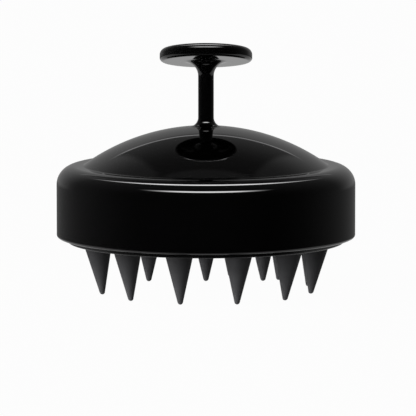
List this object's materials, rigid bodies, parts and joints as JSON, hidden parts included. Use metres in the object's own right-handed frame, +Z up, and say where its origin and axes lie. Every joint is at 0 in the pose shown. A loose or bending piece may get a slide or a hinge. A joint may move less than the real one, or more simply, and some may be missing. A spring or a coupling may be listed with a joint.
{
  "type": "scalp massager brush",
  "caption": "Round hand brush with a domed gloss body, a finger disc on a thin stem and soft conical bristles underneath, for massaging the scalp.",
  "frame": {"origin": "on the body's axis, in the plane of the long bristles' tips that it stands on", "axes": "+Z up the body's axis towards the finger disc; -Y is the front, where the disc's rim is highest"},
  "size_m": [0.088, 0.088, 0.0742],
  "materials": {
    "gloss_black_shell": "high gloss moulded ABS",
    "gloss_black_handle": "high gloss moulded ABS",
    "black_ring": "satin moulded ABS",
    "grey_silicone_pad": "matte silicone",
    "grey_silicone_bristles": "matte silicone",
    "plate_plastic": "plain moulded ABS",
    "seal_rubber": "matte",
    "screw_steel": "zinc-plated"
  },
  "bodies": {
    "housing": {"upper_shell": "gloss_black_shell", "handle": "gloss_black_handle", "handle_screw": "screw_steel", "screw_washer": "screw_steel", "base_ring": "black_ring", "bristle_pad": "grey_silicone_pad", "backing_plate": "plate_plastic", "seal_ring": "seal_rubber", "plate_screws": "screw_steel"},
    "bristle_outer_01": {"bristle_outer_01": "grey_silicone_bristles"},
    "bristle_outer_02": {"bristle_outer_02": "grey_silicone_bristles"},
    "bristle_outer_03": {"bristle_outer_03": "grey_silicone_bristles"},
    "bristle_outer_04": {"bristle_outer_04": "grey_silicone_bristles"},
    "bristle_outer_05": {"bristle_outer_05": "grey_silicone_bristles"},
    "bristle_outer_06": {"bristle_outer_06": "grey_silicone_bristles"},
    "bristle_outer_07": {"bristle_outer_07": "grey_silicone_bristles"},
    "bristle_outer_08": {"bristle_outer_08": "grey_silicone_bristles"},
    "bristle_outer_09": {"bristle_outer_09": "grey_silicone_bristles"},
    "bristle_outer_10": {"bristle_outer_10": "grey_silicone_bristles"},
    "bristle_outer_11": {"bristle_outer_11": "grey_silicone_bristles"},
    "bristle_outer_12": {"bristle_outer_12": "grey_silicone_bristles"},
    "bristle_inner_1": {"bristle_inner_1": "grey_silicone_bristles"},
    "bristle_inner_2": {"bristle_inner_2": "grey_silicone_bristles"},
    "bristle_inner_3": {"bristle_inner_3": "grey_silicone_bristles"},
    "bristle_inner_4": {"bristle_inner_4": "grey_silicone_bristles"},
    "bristle_inner_5": {"bristle_inner_5": "grey_silicone_bristles"},
    "bristle_inner_6": {"bristle_inner_6": "grey_silicone_bristles"},
    "bristle_centre": {"bristle_centre": "grey_silicone_bristles"}
  },
  "joints": [
    {"name": "bristle_outer_01_bend", "type": "hinge", "parent": "housing", "child": "bristle_outer_01", "pos_m": [0.00939, -0.03169, 0.0147], "axis": [-0.9588, -0.284, 0], "range_deg": [-25, 25], "stiffness_Nm_per_rad": 0.0136},
    {"name": "bristle_outer_02_bend", "type": "hinge", "parent": "housing", "child": "bristle_outer_02", "pos_m": [0.02397, -0.02275, 0.0147], "axis": [-0.6884, -0.7254, 0], "range_deg": [-25, 25], "stiffness_Nm_per_rad": 0.0136},
    {"name": "bristle_outer_03_bend", "type": "hinge", "parent": "housing", "child": "bristle_outer_03", "pos_m": [0.03214, -0.00772, 0.0147], "axis": [-0.2334, -0.9724, 0], "range_deg": [-25, 25], "stiffness_Nm_per_rad": 0.0136},
    {"name": "bristle_outer_04_bend", "type": "hinge", "parent": "housing", "child": "bristle_outer_04", "pos_m": [0.03169, 0.00939, 0.0147], "axis": [0.284, -0.9588, 0], "range_deg": [-25, 25], "stiffness_Nm_per_rad": 0.0136},
    {"name": "bristle_outer_05_bend", "type": "hinge", "parent": "housing", "child": "bristle_outer_05", "pos_m": [0.02275, 0.02397, 0.0147], "axis": [0.7254, -0.6884, 0], "range_deg": [-25, 25], "stiffness_Nm_per_rad": 0.0136},
    {"name": "bristle_outer_06_bend", "type": "hinge", "parent": "housing", "child": "bristle_outer_06", "pos_m": [0.00772, 0.03214, 0.0147], "axis": [0.9724, -0.2334, 0], "range_deg": [-25, 25], "stiffness_Nm_per_rad": 0.0136},
    {"name": "bristle_outer_07_bend", "type": "hinge", "parent": "housing", "child": "bristle_outer_07", "pos_m": [-0.00939, 0.03169, 0.0147], "axis": [0.9588, 0.284, 0], "range_deg": [-25, 25], "stiffness_Nm_per_rad": 0.0136},
    {"name": "bristle_outer_08_bend", "type": "hinge", "parent": "housing", "child": "bristle_outer_08", "pos_m": [-0.02397, 0.02275, 0.0147], "axis": [0.6884, 0.7254, 0], "range_deg": [-25, 25], "stiffness_Nm_per_rad": 0.0136},
    {"name": "bristle_outer_09_bend", "type": "hinge", "parent": "housing", "child": "bristle_outer_09", "pos_m": [-0.03214, 0.00772, 0.0147], "axis": [0.2334, 0.9724, 0], "range_deg": [-25, 25], "stiffness_Nm_per_rad": 0.0136},
    {"name": "bristle_outer_10_bend", "type": "hinge", "parent": "housing", "child": "bristle_outer_10", "pos_m": [-0.03169, -0.00939, 0.0147], "axis": [-0.284, 0.9588, 0], "range_deg": [-25, 25], "stiffness_Nm_per_rad": 0.0136},
    {"name": "bristle_outer_11_bend", "type": "hinge", "parent": "housing", "child": "bristle_outer_11", "pos_m": [-0.02275, -0.02397, 0.0147], "axis": [-0.7254, 0.6884, 0], "range_deg": [-25, 25], "stiffness_Nm_per_rad": 0.0136},
    {"name": "bristle_outer_12_bend", "type": "hinge", "parent": "housing", "child": "bristle_outer_12", "pos_m": [-0.00772, -0.03214, 0.0147], "axis": [-0.9724, 0.2334, 0], "range_deg": [-25, 25], "stiffness_Nm_per_rad": 0.0136},
    {"name": "bristle_inner_1_bend", "type": "hinge", "parent": "housing", "child": "bristle_inner_1", "pos_m": [0.0088, -0.01437, 0.0147], "axis": [-0.8526, -0.5225, 0], "range_deg": [-25, 25], "stiffness_Nm_per_rad": 0.009},
    {"name": "bristle_inner_2_bend", "type": "hinge", "parent": "housing", "child": "bristle_inner_2", "pos_m": [0.01684, 0.00044, 0.0147], "axis": [0.0262, -0.9997, 0], "range_deg": [-25, 25], "stiffness_Nm_per_rad": 0.009},
    {"name": "bristle_inner_3_bend", "type": "hinge", "parent": "housing", "child": "bristle_inner_3", "pos_m": [0.00804, 0.01481, 0.0147], "axis": [0.8788, -0.4772, 0], "range_deg": [-25, 25], "stiffness_Nm_per_rad": 0.009},
    {"name": "bristle_inner_4_bend", "type": "hinge", "parent": "housing", "child": "bristle_inner_4", "pos_m": [-0.0088, 0.01437, 0.0147], "axis": [0.8526, 0.5225, 0], "range_deg": [-25, 25], "stiffness_Nm_per_rad": 0.009},
    {"name": "bristle_inner_5_bend", "type": "hinge", "parent": "housing", "child": "bristle_inner_5", "pos_m": [-0.01684, -0.00044, 0.0147], "axis": [-0.0262, 0.9997, 0], "range_deg": [-25, 25], "stiffness_Nm_per_rad": 0.009},
    {"name": "bristle_inner_6_bend", "type": "hinge", "parent": "housing", "child": "bristle_inner_6", "pos_m": [-0.00804, -0.01481, 0.0147], "axis": [-0.8788, 0.4772, 0], "range_deg": [-25, 25], "stiffness_Nm_per_rad": 0.009},
    {"name": "bristle_centre_bend", "type": "hinge", "parent": "housing", "child": "bristle_centre", "pos_m": [0, 0, 0.0147], "axis": [0, -1, 0], "range_deg": [-25, 25], "stiffness_Nm_per_rad": 0.009}
  ]
}
